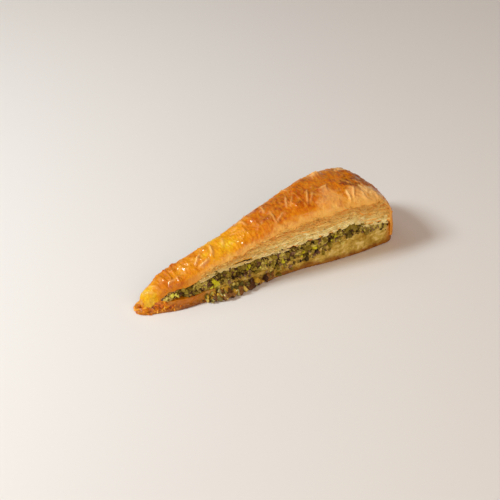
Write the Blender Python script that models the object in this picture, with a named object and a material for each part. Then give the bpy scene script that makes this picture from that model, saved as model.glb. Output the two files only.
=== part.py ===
"""One long wedge of baklava, the slice that is cut from a round tray: a block of syrup-soaked
leaves below, a layer of chopped pistachio that runs through it, and a taller block of crisp
leaves above, whose crust rolls down over the wide end and closes the filling in.

Metres, +Z up. The origin is the middle of the slice's box on the face that it rests on, +X runs
from the pointed end to the wide end, and the two cut faces stand on either side of the XZ plane.

Places along the slice are distances from its pointed end. A line of the shape that changes along
the slice is a short tuple of (distance, value) pairs, which follow() joins by a smooth curve.
"""
import math

import bmesh
import bpy
import numpy as np

# Driving dimensions
LENGTH = 0.166  # pointed end to wide end
GAP = 0.0003  # between layers that touch
BASE_END = 0.0010  # the crust overhangs the lower block by this at the wide end
CRUST_START = 0.0035  # the torn tongue of the lower leaves reaches past the crust by this
FILLING_START = 0.0100
END_CRUST = 0.0045  # thickness of the crust that closes the wide end
RIM_RADIUS = 0.200  # the wide end is an arc of the round tray
BASE_CORNER = 0.0080  # plan radius of the wide end's corners, lower block
CRUST_CORNER = 0.0070  # the same, upper block
FILLING_CORNER = 0.0020  # the same, filling
POINT_RADIUS = 0.0030  # plan radius that blunts the pointed end
BASE_EDGE = 0.0009  # the lower block's bottom edge is rounded by this
FILLING_EDGE = 0.0002  # the same, filling
FILLING_INSET = 0.0006  # the filling stands back from the cut faces by this
LEAST_WALL = 0.0012  # the crust's upright side is at least this high

# Lines that change along the slice
HALF_WIDTH = ((0.000, 0.0046), (0.004, 0.0068), (0.011, 0.0092), (0.022, 0.0126), (0.036, 0.0141),
              (0.060, 0.0145), (0.100, 0.0173), (0.125, 0.0210), (0.142, 0.0222), (LENGTH, 0.0222))
LEAN = ((0.000, 0.0020), (0.025, 0.0042), (0.060, 0.0028), (0.100, 0.0010), (LENGTH, -0.0003))
LOWER_TOP = ((0.000, 0.0016), (0.005, 0.0030), (0.013, 0.0057), (0.035, 0.0050), (0.062, 0.0052),
             (0.088, 0.0060), (0.110, 0.0090), (0.131, 0.0126), (0.146, 0.0118), (LENGTH, 0.0094))
FILLING_DEPTH = ((0.007, 0.0), (0.010, 0.0014), (0.018, 0.0054), (0.035, 0.0084), (0.055, 0.0110),
                 (0.075, 0.0112), (0.100, 0.0094), (0.120, 0.0085), (0.131, 0.0082),
                 (0.146, 0.0056), (LENGTH, 0.0048))
CREST = ((0.0035, 0.0080), (0.008, 0.0120), (0.015, 0.0148), (0.030, 0.0180), (0.050, 0.0230),
         (0.070, 0.0294), (0.090, 0.0350), (0.110, 0.0395), (0.125, 0.0408), (0.138, 0.0405),
         (0.148, 0.0386), (0.155, 0.0345), (0.160, 0.0300), (0.1635, 0.0252), (LENGTH, 0.0185))
SHOULDER = ((0.0, 0.50), (0.030, 0.62), (0.080, 0.74), (0.150, 0.74), (LENGTH, 0.62))  # of the crest
DOME_POWER = ((0.0, 2.0), (0.030, 2.2), (0.080, 2.6), (LENGTH, 2.6))  # 2 is an ellipse

# The crust's swell: (height, waves in the length, waves in the width, phase)
SWELLS = ((0.00050, 4.3, 0.6, 0.4), (0.00030, 9.1, -1.3, 2.1), (0.00022, 15.7, 1.9, 4.0))
WALL_WAVE = 0.00045  # how far the cut faces wander in and out
BLISTER_PLACE = (0.1290, 0.0125)  # distance along the slice, and off its middle
BLISTER_RADIUS = 0.0036
BLISTER_HEIGHT = 0.0019

# How finely the shapes are divided
STATION_STEP = 0.0035
CORNER_STATIONS = 8
DOME_POINTS = 19
UNDERSIDE_POINTS = 5
WALL_POINTS = 3


def follow(line, along):
    """The value of a line of (distance, value) pairs at a distance, on a smooth curve that
    doesn't overshoot between its points."""
    places = [point[0] for point in line]
    values = [point[1] for point in line]
    if along <= places[0]:
        return values[0]
    if along >= places[-1]:
        return values[-1]
    rises = [(b - a) / (q - p) for a, b, p, q in zip(values, values[1:], places, places[1:])]
    slopes = [rises[0]] + [
        2 * a * b / (a + b) if a * b > 0 else 0.0 for a, b in zip(rises, rises[1:])
    ] + [rises[-1]]
    i = max(k for k in range(len(places) - 1) if places[k] <= along)
    span = places[i + 1] - places[i]
    t = (along - places[i]) / span
    return (values[i] * (1 + 2 * t) * (1 - t) ** 2 + span * slopes[i] * t * (1 - t) ** 2
            + values[i + 1] * t * t * (3 - 2 * t) + span * slopes[i + 1] * t * t * (t - 1))


def drawn_in(along, start, end, corner):
    """How far the outline is drawn in by the round of the blunt point and of the wide corners."""
    into_end = min(max((along - (end - corner)) / corner, 0.0), 1.0)
    into_point = min(max((start + POINT_RADIUS - along) / POINT_RADIUS, 0.0), 1.0)
    at_corner = corner * (1 - math.sqrt(1 - into_end ** 2))
    at_point = POINT_RADIUS * (1 - math.sqrt(1 - into_point ** 2))
    return at_corner + at_point


def wall_half_width(along, height):
    """Half the slice's width at a height: the cut faces lean in near the point."""
    share = min(height / (follow(SHOULDER, along) * follow(CREST, along)), 1.0)
    return follow(HALF_WIDTH, along) - follow(LEAN, along) * share


def wander(along, height, side):
    """How far a cut face stands in from flat at a place. It is nothing at the widest part."""
    calm = min(1.0, max(0.0, (LENGTH - 0.030 - along) / 0.030))
    turn = 2 * math.pi * (along / 0.031 + height / 0.017)
    return -WALL_WAVE * calm * (0.5 + 0.5 * math.sin(turn + side))


def swell(along, across, half_width):
    """The height that the baked crust's slow waves and its blister add at a place."""
    edge = max(0.0, 1 - (across / half_width) ** 2)
    calm = min(1.0, max(0.0, (LENGTH - 0.004 - along) / 0.012))
    waves = sum(
        height * math.sin(2 * math.pi * (lengthwise * along / LENGTH + widthwise * across / 0.040)
                          + phase)
        for height, lengthwise, widthwise, phase in SWELLS
    )
    off = math.hypot(along - BLISTER_PLACE[0], across - BLISTER_PLACE[1]) / BLISTER_RADIUS
    return calm * edge * waves + BLISTER_HEIGHT * math.exp(-off ** 2)


def filling_top(along):
    """The height of the filling's top, which is the lower block's top where there is none."""
    return follow(LOWER_TOP, along) + follow(FILLING_DEPTH, along)


def stations(start, end, corner):
    """Distances for the cross-sections, closer together round the point and the corners."""
    point = [start + POINT_RADIUS * (1 - math.cos(math.pi / 2 * k / 4)) for k in range(4)]
    straight_from = start + POINT_RADIUS
    straight_to = end - corner
    count = round((straight_to - straight_from) / STATION_STEP)
    middle = list(np.linspace(straight_from, straight_to, count, endpoint=False))
    turn = [
        end - corner + corner * math.sin(math.pi / 2 * k / CORNER_STATIONS)
        for k in range(CORNER_STATIONS + 1)
    ]
    return point + middle + turn


def crust_section(along):
    """The upper block's outline at a distance, as (across, height) points that run round it."""
    inset = drawn_in(along, CRUST_START, LENGTH, CRUST_CORNER)
    crest = follow(CREST, along)
    shoulder = crest * follow(SHOULDER, along)
    closed = along > LENGTH - END_CRUST
    under = (follow(LOWER_TOP, along) if closed else filling_top(along)) + GAP
    shoulder = max(shoulder, under + LEAST_WALL)
    power = follow(DOME_POWER, along)
    half = wall_half_width(along, shoulder) - inset

    def wall(height, side):
        return side * (wall_half_width(along, height) - inset + wander(along, height, side))

    bottom = [
        (wall(under, -1) + (wall(under, 1) - wall(under, -1)) * k / (UNDERSIDE_POINTS - 1), under)
        for k in range(UNDERSIDE_POINTS)
    ]
    rise = [under + (shoulder - under) * (k + 1) / WALL_POINTS for k in range(WALL_POINTS - 1)]
    right = [(wall(height, 1), height) for height in rise]
    left = [(wall(height, -1), height) for height in reversed(rise)]
    dome = []
    for k in range(DOME_POINTS):
        angle = math.pi * k / (DOME_POINTS - 1)
        side = math.cos(angle)
        spread = math.copysign(abs(side) ** (2 / power), side)
        lift = abs(math.sin(angle)) ** (2 / power)
        edge = wander(along, shoulder, math.copysign(1, side)) * (1 - lift)
        across = spread * (half + edge)
        height = shoulder + (crest - shoulder) * lift
        dome.append((across, height + swell(along, across, half) * lift))
    return bottom + right + dome + left


def slab_section(along, start, end, corner, bottom, top, edge, inset):
    """A flat layer's outline at a distance, from bottom to top, set in from the cut faces."""
    inset = inset + drawn_in(along, start, end, corner)

    def wall(height, side):
        return side * (wall_half_width(along, height) - inset + wander(along, height, side))

    rise = [bottom + edge, bottom + edge + (top - bottom - edge) * 0.5, top]
    foot = [
        ((wall(bottom, 1) - edge) * (2 * k / (UNDERSIDE_POINTS - 1) - 1), bottom)
        for k in range(UNDERSIDE_POINTS)
    ]
    right = [(wall(height, 1), height) for height in rise]
    left = [(wall(height, -1), height) for height in reversed(rise)]
    inner = [
        (wall(top, 1) * (1 - 2 * k / (UNDERSIDE_POINTS - 1)), top)
        for k in range(1, UNDERSIDE_POINTS - 1)
    ]
    return foot + right + inner + left


def bowed(along, across):
    """X of a place: the wide end follows the arc of the tray's rim."""
    return along - LENGTH / 2 - across ** 2 / (2 * RIM_RADIUS) * (along / LENGTH) ** 8


def pastry_material(name, colour, roughness):
    """A plain surface of one colour."""
    material = bpy.data.materials.new(name)
    material.use_nodes = True
    surface = material.node_tree.nodes["Principled BSDF"]
    surface.inputs["Base Color"].default_value = (*colour, 1.0)
    surface.inputs["Roughness"].default_value = roughness
    surface.inputs["Metallic"].default_value = 0.0
    return material


def loft(name, places, section, material, parent):
    """A closed solid through the cross-sections at the given distances."""
    mesh = bpy.data.meshes.new(name)
    solid = bmesh.new()
    rings = []
    for along in places:
        ring = [solid.verts.new((bowed(along, y), y, z)) for y, z in section(along)]
        rings.append(ring)
    for ring, following in zip(rings, rings[1:]):
        for i in range(len(ring)):
            j = (i + 1) % len(ring)
            solid.faces.new((ring[i], ring[j], following[j], following[i]))
    solid.faces.new(list(reversed(rings[0])))
    solid.faces.new(rings[-1])
    bmesh.ops.triangulate(solid, faces=[face for face in solid.faces if len(face.verts) > 4])
    bmesh.ops.recalc_face_normals(solid, faces=solid.faces)
    solid.to_mesh(mesh)
    solid.free()
    mesh.shade_smooth()
    mesh.set_sharp_from_angle(angle=math.radians(50))
    mesh.materials.append(material)
    piece = bpy.data.objects.new(name, mesh)
    bpy.context.collection.objects.link(piece)
    piece.parent = parent
    return piece


def lower_block(parent):
    """The soaked leaves under the filling, browned below, with a torn tongue at the point."""
    end = LENGTH - BASE_END

    def section(along):
        return slab_section(along, 0.0, end, BASE_CORNER, 0.0, follow(LOWER_TOP, along),
                            BASE_EDGE, 0.0)

    material = pastry_material("soaked pastry", (0.56, 0.40, 0.13), 0.45)
    return loft("bottom_pastry", stations(0.0, end, BASE_CORNER), section, material, parent)


def filling(parent):
    """The chopped pistachio layer, which stops short of the wide end's crust."""
    end = LENGTH - END_CRUST - GAP

    def section(along):
        bottom = follow(LOWER_TOP, along) + GAP
        return slab_section(along, FILLING_START, end, FILLING_CORNER, bottom,
                            filling_top(along), FILLING_EDGE, FILLING_INSET)

    places = stations(FILLING_START, end, FILLING_CORNER)
    material = pastry_material("chopped pistachio", (0.22, 0.22, 0.05), 0.70)
    return loft("pistachio_filling", places, section, material, parent)


def upper_block(parent):
    """The crisp leaves and their domed, browned crust, which also closes the wide end."""
    step = LENGTH - END_CRUST
    places = [place for place in stations(CRUST_START, LENGTH, CRUST_CORNER)
              if abs(place - step) > 0.0006]
    places = sorted(places + [step - 0.0001, step + 0.0001])
    material = pastry_material("browned crust", (0.60, 0.27, 0.05), 0.32)
    return loft("top_pastry", places, crust_section, material, parent)


def main():
    for old in list(bpy.data.objects):
        bpy.data.objects.remove(old, do_unlink=True)
    slice_axis = bpy.data.objects.new("baklava_slice", None)
    bpy.context.collection.objects.link(slice_axis)
    lower_block(slice_axis)
    filling(slice_axis)
    upper_block(slice_axis)


main()
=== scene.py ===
"""A slice of baklava, made round its fixed frame.

The frame gives three plain solids: the soaked leaves below, the layer of chopped pistachio, and
the crisp leaves with their domed crust above. Each is replaced by detailed pieces: a wrinkled and
glazed crust, the separate leaf edges of the cut faces, chopped nuts over a darker core, a soaked
and browned base, the crumbs at its foot, and brittle flakes at the point.

Metres, +Z up, +X from the pointed end to the wide end.
"""
import logging
import math
from collections.abc import Sequence
from dataclasses import dataclass, field
from enum import Enum

import bpy
import numpy as np
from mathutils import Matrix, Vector
from mathutils.bvhtree import BVHTree


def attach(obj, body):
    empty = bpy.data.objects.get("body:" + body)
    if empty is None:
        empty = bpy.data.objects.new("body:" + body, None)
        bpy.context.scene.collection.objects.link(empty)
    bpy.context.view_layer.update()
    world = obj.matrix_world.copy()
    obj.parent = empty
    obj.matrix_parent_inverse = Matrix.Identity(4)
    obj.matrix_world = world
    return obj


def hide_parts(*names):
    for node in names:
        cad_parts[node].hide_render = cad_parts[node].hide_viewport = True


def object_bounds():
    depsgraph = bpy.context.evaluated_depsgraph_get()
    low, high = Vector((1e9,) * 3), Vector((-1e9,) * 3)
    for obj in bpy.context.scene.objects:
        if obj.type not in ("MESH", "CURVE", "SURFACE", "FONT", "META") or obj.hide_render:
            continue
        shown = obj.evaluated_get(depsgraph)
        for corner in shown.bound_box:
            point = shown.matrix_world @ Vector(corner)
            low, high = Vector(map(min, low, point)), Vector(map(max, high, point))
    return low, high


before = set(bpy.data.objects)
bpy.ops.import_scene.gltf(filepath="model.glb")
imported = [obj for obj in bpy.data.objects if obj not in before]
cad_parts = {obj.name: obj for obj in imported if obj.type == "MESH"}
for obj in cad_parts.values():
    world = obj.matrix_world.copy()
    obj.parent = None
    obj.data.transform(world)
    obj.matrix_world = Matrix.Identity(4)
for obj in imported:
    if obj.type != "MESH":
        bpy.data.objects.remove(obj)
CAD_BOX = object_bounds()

Array = np.ndarray
Colour = tuple[float, float, float]
Shape = tuple[Array, Array]
BODY = "root"
MM = 0.001
MERGE_DISTANCE = 0.01 * MM
LOW_X, HIGH_X = CAD_BOX[0][0], CAD_BOX[1][0]

log = logging.getLogger("baklava")


class Side(Enum):
    """The two cut faces, by the sign of Y."""

    NEAR = -1
    FAR = 1


# ---------------------------------------------------------------- numbers


def srgb(red: float, green: float, blue: float) -> Colour:
    """A colour given from 0 to 255 as a screen shows it, in linear light."""
    return tuple(
        c / 12.92 if c <= 0.04045 else ((c + 0.055) / 1.055) ** 2.4
        for c in (red / 255, green / 255, blue / 255)
    )


def ease(value: Array, low: float, high: float) -> Array:
    """A smooth step that is 0 at low and 1 at high."""
    t = np.clip((value - low) / (high - low), 0.0, 1.0)
    return t * t * (3 - 2 * t)


def hill(value: Array, middle: float, width: float) -> Array:
    """A smooth hill of height 1 about a middle."""
    return np.exp(-(((value - middle) / width) ** 2))


def cell_values(cells: Array, seed: int) -> Array:
    """Random numbers from -1 to 1 for cells, given by three whole numbers each.

    Args:
        cells: Whole numbers, three to a cell.
        seed: Picks the numbers.

    Returns:
        One number for each cell.
    """
    mixed = cells[..., 0] * 374761393 + cells[..., 1] * 668265263 + cells[..., 2] * 1440662683
    mixed = (mixed + seed * 974711) & 0xFFFFFFFF
    mixed = ((mixed ^ (mixed >> 13)) * 1274126177) & 0xFFFFFFFF
    mixed = ((mixed ^ (mixed >> 15)) * 668265263) & 0xFFFFFFFF
    return (mixed ^ (mixed >> 16)) / 0x7FFFFFFF - 1.0


def grain(points: Array, lump: float | Sequence[float], seed: int, octaves: int = 1) -> Array:
    """Smooth random relief.

    Args:
        points: Places, one to a row.
        lump: The width of a lump in metres, the same along each axis or one for each.
        seed: Picks the pattern.
        octaves: How many times a finer and weaker pattern is added.

    Returns:
        One number of about -1 to 1 for each place.
    """
    total = np.zeros(len(points))
    scaled = points / np.asarray(lump)
    for octave in range(octaves):
        cells = np.floor(scaled).astype(np.int64)
        part = scaled - cells
        part = part * part * (3 - 2 * part)
        value = np.zeros(len(points))
        for corner in np.ndindex(2, 2, 2):
            offset = np.array(corner)
            share = np.prod(np.where(offset == 1, part, 1 - part), axis=1)
            value += share * cell_values(cells + offset, seed + 31 * octave)
        total += 0.5 ** octave * value
        scaled = scaled * 2.03 + 17.0
    return total


def creases(points: Array, lump: float | Sequence[float], seed: int, sharpness: float) -> Array:
    """Thin raised lines between smooth hollows, from 0 to 1."""
    return (1 - np.abs(np.tanh(2.2 * grain(points, lump, seed)))) ** sharpness


def normalised(vector: Array) -> Array:
    """A vector of length 1."""
    return vector / np.linalg.norm(vector)


def turned(rng: np.random.Generator) -> Array:
    """A random rotation, as a 3 by 3 matrix."""
    w, x, y, z = normalised(rng.normal(0, 1, 4))
    return np.array([
        [1 - 2 * (y * y + z * z), 2 * (x * y - w * z), 2 * (x * z + w * y)],
        [2 * (x * y + w * z), 1 - 2 * (x * x + z * z), 2 * (y * z - w * x)],
        [2 * (x * z - w * y), 2 * (y * z + w * x), 1 - 2 * (x * x + y * y)],
    ])


def laid(rng: np.random.Generator, normal: Array, lean: float) -> Array:
    """A rotation that turns Z to about a normal and X to about the slice's length.

    Args:
        rng: Draws the lean.
        normal: Where Z is turned to.
        lean: How much the turn varies, as a slope.

    Returns:
        A 3 by 3 matrix.
    """
    z = normalised(normal + rng.normal(0, lean, 3))
    x = normalised(np.cross(np.cross(z, np.array([1.0, 0, 0]) + rng.normal(0, lean, 3)), z))
    return np.column_stack([x, np.cross(z, x), z])


def swung(places: Array, first: int, second: int, degrees: float) -> Array:
    """Places turned in the plane of two axes, from the first towards the second.

    Args:
        places: The places, one to a row.
        first: The first axis, from 0 for X.
        second: The second axis.
        degrees: How far they turn.

    Returns:
        The turned places.
    """
    c, s = math.cos(math.radians(degrees)), math.sin(math.radians(degrees))
    result = places.copy()
    result[:, first] = c * places[:, first] - s * places[:, second]
    result[:, second] = s * places[:, first] + c * places[:, second]
    return result


# ---------------------------------------------------------------- meshes


def choose(obj: bpy.types.Object) -> None:
    """Makes an object the only selected one, and the active one.

    Args:
        obj: The object.
    """
    bpy.ops.object.select_all(action="DESELECT")
    obj.select_set(True)
    bpy.context.view_layer.objects.active = obj


def added(name: str) -> bpy.types.Object:
    """Names the primitive that an operator has just added, and returns it.

    Args:
        name: The name of the object and its mesh.

    Returns:
        The new object.
    """
    obj = bpy.context.object
    obj.name = name
    obj.data.name = name
    return obj


def modified(obj: bpy.types.Object, kind: str, **settings: object) -> None:
    """Adds a modifier with settings and applies it.

    Args:
        obj: The object.
        kind: The modifier's type.
        settings: The modifier's properties.
    """
    choose(obj)
    modifier = obj.modifiers.new(kind.title(), kind)
    for key, value in settings.items():
        setattr(modifier, key, value)
    bpy.ops.object.modifier_apply(modifier=modifier.name)


def corners(obj: bpy.types.Object) -> Array:
    """The places of an object's vertices, one to a row.

    Args:
        obj: The object.

    Returns:
        An array of three columns.
    """
    flat = np.empty(len(obj.data.vertices) * 3)
    obj.data.vertices.foreach_get("co", flat)
    return flat.reshape(-1, 3)


def move_corners(obj: bpy.types.Object, places: Array) -> None:
    """Moves an object's vertices to new places."""
    obj.data.vertices.foreach_set("co", places.ravel())
    obj.data.update()


def outward(obj: bpy.types.Object) -> Array:
    """The normals of an object's vertices, one to a row.

    Args:
        obj: The object.

    Returns:
        An array of three columns.
    """
    flat = np.empty(len(obj.data.vertices) * 3)
    obj.data.vertex_normals.foreach_get("vector", flat)
    return flat.reshape(-1, 3)


def paint(obj: bpy.types.Object, **layers: Array) -> None:
    """Stores numbers for each vertex, which the object's finish reads by name."""
    for name, values in layers.items():
        layer = obj.data.attributes.new(name, "FLOAT", "POINT")
        layer.data.foreach_set("value", np.ascontiguousarray(values, dtype=np.float32))


def finish_piece(obj: bpy.types.Object, material: bpy.types.Material,
                 stands_for: Sequence[str] = (), smooth_angle: float = 180.0) -> None:
    """Gives a piece its finish and puts it on the frame.

    Args:
        obj: The piece, in place.
        material: Its finish.
        stands_for: The frame's solids that it replaces.
        smooth_angle: Edges sharper than this, in degrees, stay crisp.
    """
    choose(obj)
    bpy.ops.object.shade_smooth_by_angle(angle=math.radians(smooth_angle))
    obj.data.materials.clear()
    obj.data.materials.append(material)
    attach(obj, BODY)
    if stands_for:
        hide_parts(*stands_for)
    log.info("%s: %d faces", obj.name, len(obj.data.polygons))


def kneaded(node: str, name: str, voxel: float, smoothing: int) -> bpy.types.Object:
    """A merged copy of a frame solid, as an even, fine mesh that is ready to be worked.

    Args:
        node: The frame's solid.
        name: The new piece's name.
        voxel: The size of its faces.
        smoothing: How many times its facets are smoothed.

    Returns:
        The new piece.
    """
    obj = bpy.data.objects.new(name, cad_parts[node].data.copy())
    obj.data.name = name
    bpy.context.collection.objects.link(obj)
    choose(obj)
    bpy.ops.object.mode_set(mode="EDIT")
    bpy.ops.mesh.select_all(action="SELECT")
    bpy.ops.mesh.remove_doubles(threshold=MERGE_DISTANCE)
    bpy.ops.mesh.normals_make_consistent(inside=False)
    bpy.ops.object.mode_set(mode="OBJECT")
    modified(obj, "REMESH", mode="VOXEL", voxel_size=voxel)
    modified(obj, "SMOOTH", factor=0.5, iterations=smoothing)
    return obj


def taken_apart(obj: bpy.types.Object) -> Shape:
    """An object's vertices and triangles; the object itself is removed.

    Args:
        obj: The object.

    Returns:
        The places of its vertices, and the vertices of each triangle.
    """
    modified(obj, "TRIANGULATE")
    parts = corners(obj), np.array([tuple(p.vertices) for p in obj.data.polygons])
    bpy.data.objects.remove(obj, do_unlink=True)
    return parts


def assembled(name: str, parts: Sequence[Shape]) -> bpy.types.Object:
    """One object made of many parts, each given as its vertices and its faces.

    Args:
        name: The new object's name.
        parts: The parts, whose faces all have the same number of corners.

    Returns:
        The new object.
    """
    starts = np.cumsum([0] + [len(places) for places, _ in parts])
    faces = np.concatenate([faces + start for start, (_, faces) in zip(starts, parts)])
    mesh = bpy.data.meshes.new(name)
    mesh.from_pydata(np.concatenate([places for places, _ in parts]).tolist(), [], faces.tolist())
    obj = bpy.data.objects.new(name, mesh)
    bpy.context.collection.objects.link(obj)
    return obj


# ---------------------------------------------------------------- the frame's sizes


@dataclass
class Gauge:
    """Reads the slice's sizes off the frame.

    Args:
        step: The distance between the places where it is measured.
        stations: Shares of the length at which the two values below are given.
        hang: How far the upper leaves hang over the filling, in millimetres.
        heave: How far the lower leaves stand up over the filling, in millimetres.
    """

    step: float = 1.0 * MM
    stations: tuple[float, ...] = (
        0.05, 0.12, 0.2, 0.3, 0.42, 0.52, 0.6, 0.7, 0.77, 0.81, 0.85, 0.93)
    hang: tuple[float, ...] = (0.0, 1.4, 3.4, 2.4, 1.8, 2.0, 0.4, 1.0, 0.6, -1.4, 2.2, 2.0)
    heave: tuple[float, ...] = (0.0, 0.0, 0.0, 1.8, 1.6, 0.6, 1.4, 1.0, 2.6, 2.6, 1.6, 0.6)

    def __post_init__(self) -> None:
        """Measures the frame's solids at every place and level."""
        self.places = np.arange(LOW_X + 0.3 * MM, HIGH_X - 0.2 * MM, self.step)
        self.levels = np.arange(0.5 * MM, CAD_BOX[1][2], self.step)
        upper, filling, lower = trees = [
            self._tree(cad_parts[name].data)
            for name in ("top_pastry", "pistachio_filling", "bottom_pastry")]
        self.crests, self.seams = self._tops(upper), self._tops(lower)
        self.ceilings = np.maximum(self._tops(filling), self.seams)
        self.walls = np.array([[max(self._half(tree, x, z) for tree in trees)
                                for z in self.levels] for x in self.places])

    @staticmethod
    def _tree(mesh: bpy.types.Mesh) -> BVHTree:
        """A search tree of a mesh's faces."""
        return BVHTree.FromPolygons([v.co.copy() for v in mesh.vertices],
                                    [tuple(p.vertices) for p in mesh.polygons])

    def _tops(self, tree: BVHTree) -> Array:
        """The height of a solid's top along the middle, 0 where it isn't."""
        found = [tree.ray_cast(Vector((x, 0, 1)), Vector((0, 0, -1)))[0] for x in self.places]
        return np.array([hit.z if hit else 0.0 for hit in found])

    @staticmethod
    def _half(tree: BVHTree, x: float, z: float) -> float:
        """Half a solid's width at a place and a height, 0 where it isn't."""
        hit = tree.ray_cast(Vector((x, -1, z)), Vector((0, 1, 0)))[0]
        return -hit.y if hit else 0.0

    def along(self, x: Array) -> Array:
        """The share of the slice's length, from 0 at the point to 1 at the wide end."""
        return (x - LOW_X) / (HIGH_X - LOW_X)

    def crest(self, x: Array) -> Array:
        """The crust's height over the middle line."""
        return np.interp(x, self.places, self.crests)

    def ceiling(self, x: Array) -> Array:
        """The height of the filling's top."""
        return np.interp(x, self.places, self.ceilings)

    def seam(self, x: Array) -> Array:
        """The height of the lower block's top."""
        return np.interp(x, self.places, self.seams)

    def brim(self, x: Array) -> Array:
        """The height that the upper leaves hang down to."""
        return self.ceiling(x) - MM * np.interp(self.along(x), self.stations, self.hang)

    def sill(self, x: Array) -> Array:
        """The height that the lower leaves stand up to."""
        return self.seam(x) + MM * np.interp(self.along(x), self.stations, self.heave)

    def wall(self, x: Array, z: Array) -> Array:
        """Half the slice's width at places and heights.

        Args:
            x: Places along the slice.
            z: Heights.

        Returns:
            One half width for each.
        """
        across = np.clip((x - self.places[0]) / self.step, 0, len(self.places) - 1.001)
        up = np.clip((z - self.levels[0]) / self.step, 0, len(self.levels) - 1.001)
        i, j = across.astype(int), up.astype(int)
        s, t = across - i, up - j
        low = self.walls[i, j] * (1 - s) + self.walls[i + 1, j] * s
        high = self.walls[i, j + 1] * (1 - s) + self.walls[i + 1, j + 1] * s
        return low * (1 - t) + high * t

    def on_face(self, x: float, z: float, out: float, side: Side = Side.NEAR) -> Array:
        """A point on a cut face.

        Args:
            x: Its place along the slice.
            z: Its height.
            out: How far it stands out of the face.
            side: The cut face.

        Returns:
            The point.
        """
        reach = self.wall(np.array([x]), np.array([z]))[0]
        return np.array([x, side.value * (reach + out), z])


# ---------------------------------------------------------------- shader maths


class Signal:
    """A number that varies over a surface. Arithmetic on it adds Math nodes."""

    def __init__(self, brush: "Brush", socket: bpy.types.NodeSocket) -> None:
        """Wraps a node's output socket."""
        self.brush = brush
        self.socket = socket

    def _math(self, operation: str, *values: object) -> "Signal":
        """Adds a Math node.

        Args:
            operation: The node's operation.
            values: Its inputs, as signals or numbers.

        Returns:
            Its output.
        """
        node = self.brush.node("ShaderNodeMath", {"operation": operation},
                               dict(enumerate(values)))
        return Signal(self.brush, node.outputs[0])

    def __add__(self, other: object) -> "Signal":
        """The sum."""
        return self._math("ADD", self, other)

    __radd__ = __add__

    def __sub__(self, other: object) -> "Signal":
        """The difference."""
        return self._math("SUBTRACT", self, other)

    def __rsub__(self, other: object) -> "Signal":
        """The difference, reflected."""
        return self._math("SUBTRACT", other, self)

    def __mul__(self, other: object) -> "Signal":
        """The product."""
        return self._math("MULTIPLY", self, other)

    __rmul__ = __mul__

    def absolute(self) -> "Signal":
        """The number without its sign."""
        return self._math("ABSOLUTE", self)

    def clamped(self) -> "Signal":
        """The number, held between 0 and 1."""
        return self._math("MAXIMUM", self._math("MINIMUM", self, 1.0), 0.0)

    def stepped(self, low: float, high: float) -> "Signal":
        """A smooth step that is 0 below low and 1 above high."""
        node = self.brush.node("ShaderNodeMapRange", {"interpolation_type": "SMOOTHSTEP"},
                               {"Value": self, "From Min": low, "From Max": high})
        return Signal(self.brush, node.outputs[0])


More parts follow.
